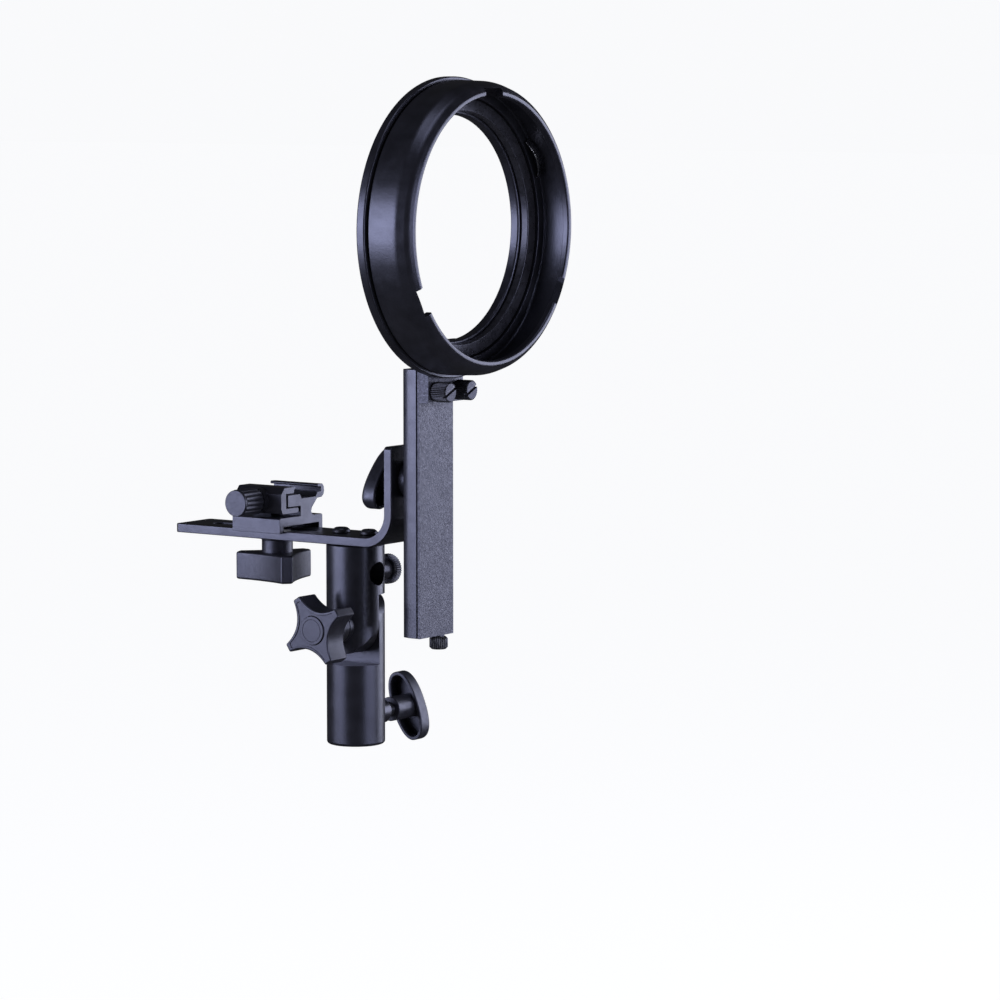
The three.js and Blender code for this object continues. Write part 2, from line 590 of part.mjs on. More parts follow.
function thumbScrew(index) {
  const head = prism(ALONG_X, flutedOutline(20, 4.45, 4.1, 2), 0.5, 8.5);
  const slot = box([7, 9], [-6, 6], [-0.6, 0.6], 25);
  const shank = rod(ALONG_X, 2, ARM_BACK_X + 6 - FOOT_FRONT_X, 1, [0, 0, 0], 16);
  const made = piece("thumb_screw_" + (index + 1), joined(head.subtract(slot), shank), BLACKENED);
  made.position.set(FOOT_FRONT_X, index ? THUMB_SCREW_Y : -THUMB_SCREW_Y, THUMB_SCREW_Z);
  return made;
}

// The ring, made round +X with its centre at the group's origin
function onRing(radius, degrees) {
  const angle = THREE.MathUtils.degToRad(degrees);
  return [0, radius * Math.cos(angle), radius * Math.sin(angle)];
}

function ringRearPlate() {
  const [back, front] = RING_PLATE_X;
  const [outer, inner] = [RING_PLATE_RADIUS, RING_OPENING_RADIUS];
  const profile = [
    [inner, back], [outer - 0.7, back], [outer, back + 0.7], [outer, front - 0.7], [outer - 0.7, front],
    [inner + 1, front], [inner, front - 1], [inner, back],
  ];
  let plate = turned(ALONG_X, profile, [0, 0, 0], RING_SIDES);
  for (const degrees of RING_SCREW_ANGLES) {
    const at = onRing(RING_SCREW_RADIUS, degrees);
    plate = plate.subtract(rod(ALONG_X, 1.25 + THREAD_GAP, back - 1, front + 1, at, 16));
  }
  const hole = footScrewOutline(GAP, 6);
  for (const y of [-THUMB_SCREW_Y, THUMB_SCREW_Y])
    plate = plate.subtract(turned(ALONG_X, hole, [front, y, FOOT_SCREW_Z - RING_Z], 16));
  return piece("ring_rear_plate", plate, COATED);
}

function ringDome() {
  const [back, front] = DOME_X;
  const r = DOME_RADIUS;
  const lip = DOME_LIP_RADIUS;
  const profile = [
    [56.8, back], [r - 0.4, back], [r, back + 0.5], [r - 0.5, front - 6.5], [r - 1.3, front - 4],
    [r - 2.6, front - 2.1], [lip + 3.2, front - 0.7], [lip + 2.2, front], [lip + 0.9, front],
    [lip, front - 1], [lip, front - 3.1], [60.8, front - 4.8], [61.2, back + 4.7], [56.8, back + 4.3],
    [56.8, back],
  ];
  let dome = turned(ALONG_X, profile, [0, 0, 0], RING_SIDES);
  for (const degrees of DOME_NOTCH_ANGLES) {
    const half = DOME_NOTCH_WIDTH / 2;
    const [across, out] = [[-half, half], [lip - 4, DOME_NOTCH_RADIUS]];
    dome = dome.subtract(box([front - 6, front + 1], across, out, degrees - 90));
  }
  for (const degrees of RING_SCREW_ANGLES) {
    const at = onRing(RING_SCREW_RADIUS, degrees);
    dome = dome.subtract(rod(ALONG_X, 1.25 + THREAD_GAP, back - 1, back + 3.6, at, 16));
  }
  return piece("ring_dome", dome, COATED);
}

// The bayonet ring inside the dome carries three leaf springs that press a snoot's lugs forwards.
function bayonetRing() {
  const [inner, outer, back, front] = [50.4, 56.4, 54.7, 58.4];
  const profile = [
    [inner, back], [outer, back], [outer, front], [inner + 0.6, front], [inner, front - 0.6],
    [inner, back],
  ];
  return piece("bayonet_ring", turned(ALONG_X, profile, [0, 0, 0], RING_SIDES), ANODISED);
}

function leafSpring(index) {
  const half = 9;
  const strip = new THREE.Shape(); // its x is the object's X and its y runs along the spring
  const [back, bow] = [60.6, 5.6];
  strip.moveTo(back, -half);
  strip.lineTo(back + 0.5, -half);
  strip.quadraticCurveTo(back + 0.8 + bow, 0, back + 0.5, half);
  strip.lineTo(back, half);
  strip.quadraticCurveTo(back + bow, 0, back, -half);
  const made = piece("leaf_spring_" + (index + 1), prism(ALONG_Z, strip, 57, 60.2), STEEL);
  made.rotation.x = THREE.MathUtils.degToRad(DOME_NOTCH_ANGLES[index] + 60 - 90);
  return made;
}

function ringScrew(index) {
  const head = [[0, -1.7], [1.8, -1.7], [2.3, -1.1], [2.3, -GAP], [0, -GAP]];
  const screw = joined(turned(ALONG_X, head, [0, 0, 0], 16), rod(ALONG_X, 1.25, -1, 8.6, [0, 0, 0], 12));
  const made = piece("ring_screw_" + (index + 1), screw, BLACKENED);
  const [, y, z] = onRing(RING_SCREW_RADIUS, RING_SCREW_ANGLES[index]);
  made.position.set(RING_PLATE_X[0], y, z);
  return made;
}

// A countersunk screw along -X with its head's face at 0, or the hole for it with a gap all round.
function footScrewOutline(gap, length) {
  const top = gap ? 1 : -0.2;
  const [shank, head] = [1.5 + gap, 3 + gap];
  return [
    [0, -length], [shank, -length], [shank, -1.8 - gap], [head, -0.5 - gap], [head, top], [0, top],
  ];
}

function footScrew(index) {
  const screw = turned(ALONG_X, footScrewOutline(0, 8.4), [0, 0, 0], 16);
  const made = piece("foot_screw_" + (index + 1), screw, BLACKENED);
  made.position.set(RING_PLATE_X[1], index ? THUMB_SCREW_Y : -THUMB_SCREW_Y, FOOT_SCREW_Z - RING_Z);
  return made;
}

const starGroup = group(starKnob(), starKnobCap(), hingeBolt(), hingeWasher());
starGroup.position.z = HINGE_Z;

const shoe = group(shoeBase(), shoeBolt(), shoeWasher(), shoeKnob(), shoeJaw(), jawScrew(), jawKnob());

const ring = group(ringRearPlate(), ringDome(), bayonetRing());
ring.add(...DOME_NOTCH_ANGLES.map((_, i) => leafSpring(i)));
ring.add(...RING_SCREW_ANGLES.map((_, i) => ringScrew(i)));
ring.add(footScrew(0), footScrew(1));
ring.position.z = RING_Z;

const arm = group(armChannel(), armFrontPlate(), stopScrew(), ringFoot());
arm.add(thumbScrew(0), thumbScrew(1), ring);

const swivel = group(umbrellaTube(), umbrellaScrew(), lPlate(), plateScrew(0), plateScrew(1), shoe);
swivel.add(armLock(), armSpacer(), armNut(), arm);

export default group(standSocket(), standLock(), starGroup, swivel);
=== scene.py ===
"""The looks of the umbrella swivel bracket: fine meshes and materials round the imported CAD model.

Lengths are millimetres in the shapes below, and metres once they are meshes."""

import json
import math

import bmesh
import bpy
from mathutils import Matrix, Vector


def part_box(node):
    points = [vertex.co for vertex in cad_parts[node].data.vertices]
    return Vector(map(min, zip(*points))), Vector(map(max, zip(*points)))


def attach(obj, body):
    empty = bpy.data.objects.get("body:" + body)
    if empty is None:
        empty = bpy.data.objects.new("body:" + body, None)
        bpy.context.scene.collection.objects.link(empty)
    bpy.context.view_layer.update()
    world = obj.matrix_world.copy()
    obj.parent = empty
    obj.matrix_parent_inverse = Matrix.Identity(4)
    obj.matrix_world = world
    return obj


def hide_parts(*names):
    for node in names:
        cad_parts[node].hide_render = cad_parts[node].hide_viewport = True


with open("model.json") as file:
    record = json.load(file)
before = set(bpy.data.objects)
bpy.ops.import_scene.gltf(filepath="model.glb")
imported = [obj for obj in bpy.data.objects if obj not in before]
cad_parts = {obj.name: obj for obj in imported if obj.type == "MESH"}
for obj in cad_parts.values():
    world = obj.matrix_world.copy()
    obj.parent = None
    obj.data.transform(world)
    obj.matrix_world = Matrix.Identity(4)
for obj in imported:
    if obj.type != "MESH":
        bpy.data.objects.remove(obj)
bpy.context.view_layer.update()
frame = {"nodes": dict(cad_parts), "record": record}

MM = 0.001
RECORD = frame["record"]
SLOT_OF_NODE = {part["node"]: part["material_slot"] for part in RECORD["subparts"]}
BODY_OF_NODE = {node: body for body, nodes in RECORD["behaviour"]["bodies"].items() for node in nodes}
JOINTS = {joint["name"]: joint for joint in RECORD["behaviour"]["joints"]}

# ---------------------------------------------------------------- camera, light and floor

CAMERA_AZIMUTH = math.radians(35.0)
CAMERA_ELEVATION = math.radians(5.9)
CAMERA_DISTANCE = 1.877
CAMERA_AIM = Vector((0.0463, 0.0460, 0.1079))
CAMERA_LENS = 151.2
FLOOR_Z = -0.30
FLOOR_HALF = 24.0
PAPER = (0.95, 0.955, 0.97)
LIGHT_COLOR = (0.86, 0.88, 1.0)
ROOM_STRENGTH, PAPER_STRENGTH = 0.03, 1.0


def add_camera():
    """The camera, at its bearing, height and distance from the object as in the photo."""
    flat = math.cos(CAMERA_ELEVATION)
    across = (math.sin(CAMERA_AZIMUTH) * flat, -math.cos(CAMERA_AZIMUTH) * flat)
    towards_camera = Vector((*across, math.sin(CAMERA_ELEVATION)))
    data = bpy.data.cameras.new("camera")
    data.lens = CAMERA_LENS
    data.clip_end = 50
    camera = bpy.data.objects.new("camera", data)
    camera.location = CAMERA_AIM + towards_camera * CAMERA_DISTANCE
    camera.rotation_euler = towards_camera.to_track_quat("Z", "Y").to_euler()
    bpy.context.scene.collection.objects.link(camera)
    bpy.context.scene.camera = camera


def add_softbox(name, bearing, elevation, distance, size, power):
    """A soft light `bearing` degrees to the right of the camera's side, facing the object.

    Its distance and size are in metres, and its power in watts."""
    angle = CAMERA_AZIMUTH + math.radians(bearing)
    rise = math.radians(elevation)
    direction = Vector(
        (math.sin(angle) * math.cos(rise), -math.cos(angle) * math.cos(rise), math.sin(rise))
    )
    data = bpy.data.lights.new(name, "AREA")
    data.shape = "RECTANGLE"
    data.size, data.size_y = size
    data.energy = power
    data.color = LIGHT_COLOR
    light = bpy.data.objects.new(name, data)
    light.location = Vector((0, 0, 0.15)) + direction * distance
    light.rotation_euler = direction.to_track_quat("Z", "Y").to_euler()
    light.visible_camera = False
    bpy.context.scene.collection.objects.link(light)


def add_lights():
    """Broad softboxes on either side, which the black coat mirrors, and a weak one above."""
    add_softbox("softbox_left", -68, 5, 1.5, (1.4, 0.8), 27)
    add_softbox("softbox_right", 62, 5, 1.5, (1.3, 0.8), 21)
    add_softbox("softbox_side", 116, 4, 1.6, (1.0, 1.0), 15)
    add_softbox("softbox_top", 10, 78, 1.5, (0.7, 0.7), 4)


def add_world():
    """White paper all round as the camera sees it, and a dim room as the object sees it."""
    world = bpy.data.worlds.new("studio")
    bpy.context.scene.world = world
    world.use_nodes = True
    nodes, links = world.node_tree.nodes, world.node_tree.links
    nodes.clear()
    mix = nodes.new("ShaderNodeMixShader")
    links.new(nodes.new("ShaderNodeLightPath").outputs["Is Camera Ray"], mix.inputs["Fac"])
    for socket, strength in ((1, ROOM_STRENGTH), (2, PAPER_STRENGTH)):
        background = nodes.new("ShaderNodeBackground")
        background.inputs["Color"].default_value = (*PAPER, 1)
        background.inputs["Strength"].default_value = strength
        links.new(background.outputs[0], mix.inputs[socket])
    links.new(mix.outputs[0], nodes.new("ShaderNodeOutputWorld").inputs["Surface"])


def add_floor():
    """Paper that glows as brightly as the world behind it, so that no horizon shows."""
    mesh = bpy.data.meshes.new("floor")
    signs = ((-1, -1), (1, -1), (1, 1), (-1, 1))
    corners = [(x * FLOOR_HALF, y * FLOOR_HALF, FLOOR_Z) for x, y in signs]
    mesh.from_pydata(corners, [], [(0, 1, 2, 3)])
    floor = bpy.data.objects.new("floor", mesh)
    floor.visible_glossy = False
    bpy.context.scene.collection.objects.link(floor)
    material = bpy.data.materials.new("floor_paper")
    material.use_nodes = True
    shader = material.node_tree.nodes["Principled BSDF"]
    shader.inputs["Base Color"].default_value = (0.06, 0.06, 0.062, 1)
    shader.inputs["Roughness"].default_value = 0.9
    shader.inputs["Emission Color"].default_value = (*PAPER, 1)
    shader.inputs["Emission Strength"].default_value = PAPER_STRENGTH
    mesh.materials.append(material)


# ---------------------------------------------------------------- materials

BLUISH = (0.66, 0.69, 1.0)  # the tint of the dark finishes' reflections
WORN_POINTINESS = (0.58, 0.7)  # where the wear on convex edges begins and is full
WEAR_PATCH_MM = 1.6


class Shader:
    """A procedural material: a Principled shader whose colour, roughness and bump come from noise."""

    def __init__(self, name, metallic=0.0, tint=(1, 1, 1), specular=0.5):
        self.material = bpy.data.materials.new(name)
        self.material.use_nodes = True
        self.nodes = self.material.node_tree.nodes
        self.links = self.material.node_tree.links
        self.shader = self.nodes["Principled BSDF"]
        self.shader.inputs["Metallic"].default_value = metallic
        self.shader.inputs["Specular Tint"].default_value = (*tint, 1)
        self.shader.inputs["Specular IOR Level"].default_value = specular
        self.place = self.nodes.new("ShaderNodeTexCoord").outputs["Object"]
        self.normal = None

    def noise(self, size_mm, detail=3.0, stretch=(1, 1, 1)):
        """Noise with features of about size_mm, stretched along the object's axes."""
        mapping = self.nodes.new("ShaderNodeMapping")
        mapping.inputs["Scale"].default_value = [s / (size_mm * MM) for s in stretch]
        self.links.new(self.place, mapping.inputs["Vector"])
        noise = self.nodes.new("ShaderNodeTexNoise")
        noise.inputs["Scale"].default_value = 1.0
        noise.inputs["Detail"].default_value = detail
        self.links.new(mapping.outputs["Vector"], noise.inputs["Vector"])
        return noise.outputs["Fac"]

    def ramp(self, value, low, high, start=0.35, end=0.65):
        """value from start to end, mapped to a number or colour from low to high."""
        ramp = self.nodes.new("ShaderNodeValToRGB")
        ramp.color_ramp.elements[0].position = start
        ramp.color_ramp.elements[1].position = end
        for element, color in zip(ramp.color_ramp.elements, (low, high)):
            element.color = (*color, 1) if hasattr(color, "__len__") else (color, color, color, 1)
        self.links.new(value, ramp.inputs["Fac"])
        return ramp.outputs["Color"]

    def worn_color(self, color, worn, noise_mm=9.0):
        """A colour with cloudy variation, rubbed to `worn` along the convex edges."""
        darker, lighter = [c * 0.78 for c in color], [c * 1.25 for c in color]
        base = self.ramp(self.noise(noise_mm, 4), darker, lighter)
        geometry = self.nodes.new("ShaderNodeNewGeometry")
        edges = self.ramp(geometry.outputs["Pointiness"], 0, 1, *WORN_POINTINESS)
        broken = self.ramp(self.noise(WEAR_PATCH_MM, 5), 0, 1, 0.42, 0.62)
        share = self.nodes.new("ShaderNodeMath")
        share.operation = "MULTIPLY"
        self.links.new(edges, share.inputs[0])
        self.links.new(broken, share.inputs[1])
        mix = self.nodes.new("ShaderNodeMix")
        mix.data_type = "RGBA"
        self.links.new(share.outputs[0], mix.inputs["Factor"])
        self.links.new(base, mix.inputs["A"])
        mix.inputs["B"].default_value = (*worn, 1)
        self.links.new(mix.outputs["Result"], self.shader.inputs["Base Color"])

    def roughness(self, value, low, high):
        self.links.new(self.ramp(value, low, high), self.shader.inputs["Roughness"])

    def bump(self, value, depth_mm):
        """Adds a height of depth_mm to the bump."""
        node = self.nodes.new("ShaderNodeBump")
        node.inputs["Distance"].default_value = depth_mm * MM
        self.links.new(value, node.inputs["Height"])
        if self.normal:
            self.links.new(self.normal, node.inputs["Normal"])
        self.normal = node.outputs["Normal"]
        self.links.new(self.normal, self.shader.inputs["Normal"])


def powder_coat():
    """Smooth black powder coat with a faint orange peel."""
    made = Shader("powder_coat", tint=BLUISH, specular=0.7)
    made.worn_color((0.006, 0.006, 0.008), (0.02, 0.02, 0.024))
    made.roughness(made.noise(5, 5), 0.29, 0.36)
    made.bump(made.noise(1.1, 2), 0.03)
    made.bump(made.noise(0.35, 2), 0.012)
    return made.material


def sandy_coat():
    """A coarser coat, like sand."""
    made = Shader("sandy_coat", tint=BLUISH, specular=0.8)
    made.worn_color((0.014, 0.014, 0.019), (0.035, 0.035, 0.042))
    made.roughness(made.noise(1.0, 4), 0.4, 0.6)
    made.bump(made.noise(0.75, 3), 0.16)
    return made.material


def moulded_plastic():
    """The knobs' plastic, with a fine grain."""
    made = Shader("moulded_plastic", tint=BLUISH, specular=0.65)
    made.worn_color((0.008, 0.008, 0.011), (0.02, 0.02, 0.026), 6.0)
    made.roughness(made.noise(1.5, 4), 0.34, 0.46)
    made.bump(made.noise(0.3, 2), 0.015)
    return made.material


def anodised():
    """Black anodised aluminium with fine lines along X, rubbed to metal at its edges."""
    made = Shader("black_anodised", metallic=0.3, tint=BLUISH)
    made.worn_color((0.014, 0.014, 0.018), (0.2, 0.2, 0.21), 4.0)
    made.roughness(made.noise(2, 5), 0.26, 0.36)
    made.bump(made.noise(0.5, 3, (1, 12, 12)), 0.008)
    return made.material


def bare_steel():
    """Bare steel, a little uneven."""
    made = Shader("bare_steel", metallic=1.0)
    made.worn_color((0.46, 0.46, 0.48), (0.62, 0.62, 0.63), 3.0)
    made.roughness(made.noise(1.2, 4), 0.22, 0.36)
    made.bump(made.noise(0.4, 3), 0.01)
    return made.material


def blackened_steel():
    """Blackened steel, rubbed lighter at its edges."""
    made = Shader("blackened_steel", metallic=0.5, tint=BLUISH)
    made.worn_color((0.02, 0.02, 0.024), (0.16, 0.16, 0.165), 2.5)
    made.roughness(made.noise(1.0, 4), 0.28, 0.4)
    made.bump(made.noise(0.4, 3), 0.01)
    return made.material


# ---------------------------------------------------------------- outlines

PLACE = {  # a shape's own x, y and height, laid along each axis of the object
    "X": lambda a, b, c: (c, a, b),
    "Y": lambda a, b, c: (b, c, a),
    "Z": lambda a, b, c: (a, b, c),
}
NEARLY_STRAIGHT = math.radians(3)  # a corner that turns less than this is left as it is
KNOB_SIDE_STEPS = 18
FLUTE_STEPS, FLUTE_POWER = 8, 0.8
OVAL_POINTS, OVAL_POWER = 96, 2.3


def rounded(points, radii, steps=6):
    """An outline whose corners are rounded with arcs. radii is one number, or one for each point."""
    if not hasattr(radii, "__len__"):
        radii = [radii] * len(points)
    made = []
    for i, (point, radius) in enumerate(zip(points, radii)):
        if radius == 0:
            made.append(tuple(point))
            continue
        corner = Vector(point)
        before = Vector(points[i - 1]) - corner
        after = Vector(points[(i + 1) % len(points)]) - corner
        half = before.angle(after) / 2
        if math.pi / 2 - half < NEARLY_STRAIGHT:
            made.append(tuple(point))
            continue
        reach = min(radius / math.tan(half), before.length * 0.47, after.length * 0.47)
        start, end = corner + before.normalized() * reach, corner + after.normalized() * reach
        middle = (before.normalized() + after.normalized()).normalized()
        centre = corner + middle * (reach / math.cos(half))
        for k in range(steps + 1):
            spoke = (start - centre).lerp(end - centre, k / steps)
            made.append(tuple(centre + spoke.normalized() * (start - centre).length))
    return made


def lobed(lobes, tip, waist, tip_half, turn_degrees, corner):
    """A knob's outline: narrow rounded tips joined by hollow sides, as in the CAD model."""

    def at(angle, radius, across):
        a = math.radians(turn_degrees) + angle
        return Vector(
            (radius * math.cos(a) - across * math.sin(a), radius * math.sin(a) + across * math.cos(a))
        )

    points, radii = [], []
    half = math.pi / lobes
    pull = 2 * waist - tip * math.cos(half) - tip_half * math.sin(half)
    for i in range(lobes):
        angle = 2 * half * i
        points += [at(angle, tip, -tip_half), at(angle, tip, tip_half)]
        radii += [corner, corner]
        start, middle, end = points[-1], at(angle + half, pull, 0), at(angle + 2 * half, tip, -tip_half)
        for k in range(1, KNOB_SIDE_STEPS):
            t = k / KNOB_SIDE_STEPS
            points.append(start * (1 - t) ** 2 + middle * (2 * t * (1 - t)) + end * t**2)
            radii.append(0)
    return rounded([tuple(p) for p in points], radii)


def fluted(flutes, outer, depth):
    """A knurled outline: rounded ridges with narrow grooves between them."""
    count = flutes * FLUTE_STEPS
    points = []
    for i in range(count):
        wave = abs(math.sin(math.pi * i / FLUTE_STEPS)) ** FLUTE_POWER
        radius = outer - depth * (1 - wave)
        angle = 2 * math.pi * i / count
        points.append((radius * math.cos(angle), radius * math.sin(angle)))
    return points


def stretched_oval(half_length, half_width):
    """An ellipse with slightly fuller corners."""
    points = []
    for i in range(OVAL_POINTS):
        angle = 2 * math.pi * i / OVAL_POINTS
        c, s = math.cos(angle), math.sin(angle)
        x = math.copysign(abs(c) ** (2 / OVAL_POWER), c) * half_length
        points.append((x, math.copysign(abs(s) ** (2 / OVAL_POWER), s) * half_width))
    return points


# ---------------------------------------------------------------- solids

FLAT = math.radians(0.8)  # faces closer than this to one plane are merged
SHARP = math.radians(38)  # edges above this stay sharp in the shading
THREAD_DEPTH = 0.3


def new_object(bm):
    """The built mesh as an object, with its faces all turned outwards."""
    bmesh.ops.remove_doubles(bm, verts=bm.verts, dist=1e-7)
    bmesh.ops.recalc_face_normals(bm, faces=bm.faces)
    mesh = bpy.data.meshes.new("solid")
    bm.to_mesh(mesh)
    bm.free()
    obj = bpy.data.objects.new("solid", mesh)
    bpy.context.scene.collection.objects.link(obj)
    return obj


def loft(loops, centre=(0, 0, 0), place="Z", capped=True):
    """A closed skin over loops of (x, y, height) points, with a flat face on its first and last loop."""
    bm = bmesh.new()
    rings = []
    for loop in loops:
        spots = [Vector(PLACE[place](*point)) + Vector(centre) for point in loop]
        rings.append([bm.verts.new(spot * MM) for spot in spots])
    pairs = list(zip(rings, rings[1:])) + ([] if capped else [(rings[-1], rings[0])])
    for lower, upper in pairs:
        for i, vertex in enumerate(lower):
            j = (i + 1) % len(lower)
            bm.faces.new((vertex, lower[j], upper[j], upper[i]))
    if capped:
        bm.faces.new(rings[0])
        bm.faces.new(rings[-1])
    return new_object(bm)


def prism(place, outline, start, end, centre=(0, 0, 0)):
    """An outline pushed out from start to end along the axis named by place."""
    return loft([[(x, y, height) for x, y in outline] for height in (start, end)], centre, place)


def lathe(place, profile, centre=(0, 0, 0), segments=128):
    """A turned piece from (radius, height) points.

    A profile that starts off the axis closes on itself."""
    on_axis = profile[0][0] == 0
    points = profile[1:-1] if on_axis else profile
    loops = []
    for radius, height in points:
        turns = [2 * math.pi * i / segments for i in range(segments)]
        loops.append([(radius * math.cos(a), radius * math.sin(a), height) for a in turns])
    return loft(loops, centre, place, capped=on_axis)


def rod(place, radius, start, end, centre=(0, 0, 0), segments=64, edge=0.0):
    """A cylinder, with its rims rounded by `edge`. It also serves as the drill for round holes."""
    profile = [(0, start), (radius, start), (radius, end), (0, end)]
    return lathe(place, rounded(profile, [0, edge, edge, 0], 4), centre, segments)


def thread(place, radius, start, end, centre, pitch=0.8):
    """A screw's shank with its thread as close rings."""
    count = max(2, int((end - start) / pitch))
    step = (end - start) / count
    core = radius - THREAD_DEPTH
    profile = [(0, start)]
    for i in range(count):
        profile += [(core, start + i * step), (radius, start + (i + 0.5) * step)]
    profile += [(core, end), (0, end)]
    return lathe(place, profile, centre, 32)


def block(x, y, z):
    """A box between two values along each axis."""
    outline = [(x[0], y[0]), (x[1], y[0]), (x[1], y[1]), (x[0], y[1])]
    return prism("Z", outline, *z)


def applied(obj):
    """The object with its modifiers made part of its mesh."""
    graph = bpy.context.evaluated_depsgraph_get()
    mesh = bpy.data.meshes.new_from_object(obj.evaluated_get(graph))
    old = obj.data
    obj.modifiers.clear()
    obj.data = mesh
    bpy.data.meshes.remove(old)
    return obj


def combine(operation, whole, *others):
    """Booleans `others` into `whole` and uses them up."""
    for other in others:
        modifier = whole.modifiers.new(operation, "BOOLEAN")
        modifier.operation = operation
        modifier.solver = "EXACT"
        modifier.object = other
    applied(whole)
    for other in others:
        mesh = other.data
        bpy.data.objects.remove(other)
        bpy.data.meshes.remove(mesh)
    return whole


def join(whole, *others):
    return combine("UNION", whole, *others)


def cut(whole, *others):
    return combine("DIFFERENCE", whole, *others)


def overlap(whole, *others):
    return combine("INTERSECT", whole, *others)


def soften(obj, width, angle=32):
    """Rounds the edges of a mesh that are sharper than `angle` by `width` and shades it smooth."""
    bm = bmesh.new()
    bm.from_mesh(obj.data)
    bmesh.ops.remove_doubles(bm, verts=bm.verts, dist=2e-6)
    bmesh.ops.dissolve_limit(bm, angle_limit=FLAT, verts=bm.verts, edges=bm.edges)
    bm.to_mesh(obj.data)
    bm.free()
    if width:
        bevel = obj.modifiers.new("edges", "BEVEL")
        bevel.width = width * MM
        bevel.segments = 3
        bevel.limit_method = "ANGLE"
        bevel.angle_limit = math.radians(angle)
        bevel.use_clamp_overlap = True
        bevel.miter_outer = "MITER_ARC"
        applied(obj)
    obj.data.shade_smooth()
    obj.data.set_sharp_from_angle(angle=SHARP)
    weighted = obj.modifiers.new("normals", "WEIGHTED_NORMAL")
    weighted.keep_sharp = True
    return obj


MATERIALS = {
    "coated_metal": powder_coat(),
    "textured_coat": sandy_coat(),
    "black_plastic": moulded_plastic(),
    "anodised_aluminium": anodised(),
    "steel": bare_steel(),
    "blackened_steel": blackened_steel(),
}


def stand_for(node, obj, name, edge, angle=32):
    """Finishes obj as the visible piece of a CAD node: edges, the material of its slot, and its body."""
    soften(obj, edge, angle=angle)
    obj.name = obj.data.name = name
    obj.data.materials.clear()
    obj.data.materials.append(MATERIALS[SLOT_OF_NODE[node]])
    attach(obj, BODY_OF_NODE[node])
    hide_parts(node)
    return obj


def limits(node):
    """A CAD node's lowest and highest corner in millimetres."""
    return [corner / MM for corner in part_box(node)]


def pivot(joint):
    """A point on a joint's axis, in millimetres."""
    return Vector(JOINTS[joint]["pos_m"]) / MM


# ---------------------------------------------------------------- the swivel's tubes

HINGE = pivot("tilt")
TUBE = limits("umbrella_tube")
TUBE_RADIUS = TUBE[1].x
TUBE_SEGMENTS = 160
TUBE_EDGE = 0.45
EAR_STEPS = 48
EAR_GAP = 0.2  # from each ear's flat face to the middle plane
BOLT_HOLE = 3.3
HINGE_SEAT = 7.4
SHOULDER_BELOW_EAR = 4.6
UPPER_SHOULDER = 67.6
LOCK_BOSS = 5.4
SPIGOT_BORE = (8.1, 33.0)  # radius and depth
UMBRELLA_HOLE = (5.3, 77.0)  # radius and height
UMBRELLA_SCREW_HOLE = 2.8


def with_ear(tube, shoulder, y_face):
    """A tube cut to one half beyond its shoulder, with a round end about the hinge's axis.

    The lower tube keeps its half towards +Y, and the upper tube its half towards -Y."""
    radius, outside, lower = TUBE_RADIUS, TUBE_RADIUS + 1, shoulder < HINGE.z
    turn, side = (0, 1) if lower else (math.pi, -1)
    tip = [
        (HINGE.z + radius * math.sin(turn + a), radius * math.cos(turn + a))
        for a in (math.pi * i / EAR_STEPS for i in range(EAR_STEPS + 1))
    ]
    far = -1 if lower else TUBE[1].z + 1
    outline = [(far, -tip[0][1]), (far, tip[0][1]), *tip]
    tube = overlap(tube, prism("Y", outline, -outside, outside))
    away = block(
        (-outside, outside),
        sorted((y_face, -side * outside)),
        sorted((shoulder, HINGE.z + side * outside)),
    )
    return cut(tube, away)


def socket_tube():
    """The lower tube: the bore for a stand's spigot, the lock screw's boss and one hinge ear."""
    boss_end = limits("stand_socket")[1].y
    shoulder = TUBE[0].z - SHOULDER_BELOW_EAR
    bore, depth = SPIGOT_BORE
    lock_axis = (0, 0, pivot("stand_lock_turn").z)
    end = HINGE.z + TUBE_RADIUS + 1
    hollow = [(0, depth), (bore, depth), (bore, 0.5), (bore + 1.1, 0)]
    outside = [(TUBE_RADIUS, 0), (TUBE_RADIUS, end), (0, end)]
    profile = rounded(hollow + outside, [0, 0.5, 0.6, 0.3, 1.4, 0, 0])
    body = lathe("Z", profile, segments=TUBE_SEGMENTS)
    boss = rod("Y", LOCK_BOSS, 10, boss_end, lock_axis, edge=0.6)
    body = cut(
        join(with_ear(body, shoulder, EAR_GAP), boss),
        rod("Y", BOLT_HOLE, -2, TUBE_RADIUS + 2, HINGE),
        rod("Y", BOLT_HOLE, 2, boss_end + 2, lock_axis),
        rod("Z", bore, 0.8, depth, segments=TUBE_SEGMENTS),
    )
    stand_for("stand_socket", body, "socket_tube", TUBE_EDGE)


def swivel_tube():
    """The upper tube: the other hinge ear, the umbrella's hole and its screw's hole."""
    end, top = HINGE.z - TUBE_RADIUS - 1, TUBE[1].z
    radius, hole_z = UMBRELLA_HOLE
    profile = [(0, end), (TUBE_RADIUS, end), (TUBE_RADIUS, top), (0, top)]
    body = lathe("Z", rounded(profile, [0, 0, 0.6, 0]), segments=TUBE_SEGMENTS)
    seat = rod("Y", HINGE_SEAT, TUBE[0].y, -6, HINGE, segments=96)
    body = join(with_ear(body, UPPER_SHOULDER, -EAR_GAP), seat)
    screw = pivot("umbrella_screw_turn")
    holes = [
        rod("Y", BOLT_HOLE, -TUBE_RADIUS - 2, 2, HINGE),
        rod("X", radius, -TUBE_RADIUS - 1, TUBE_RADIUS + 1, (0, 0, hole_z), segments=96),
        rod("Y", UMBRELLA_SCREW_HOLE, 3, TUBE_RADIUS + 1, (0, 0, screw.z)),
    ]
    stand_for("umbrella_tube", cut(body, *holes), "swivel_tube", TUBE_EDGE)


# ---------------------------------------------------------------- knobs and screws

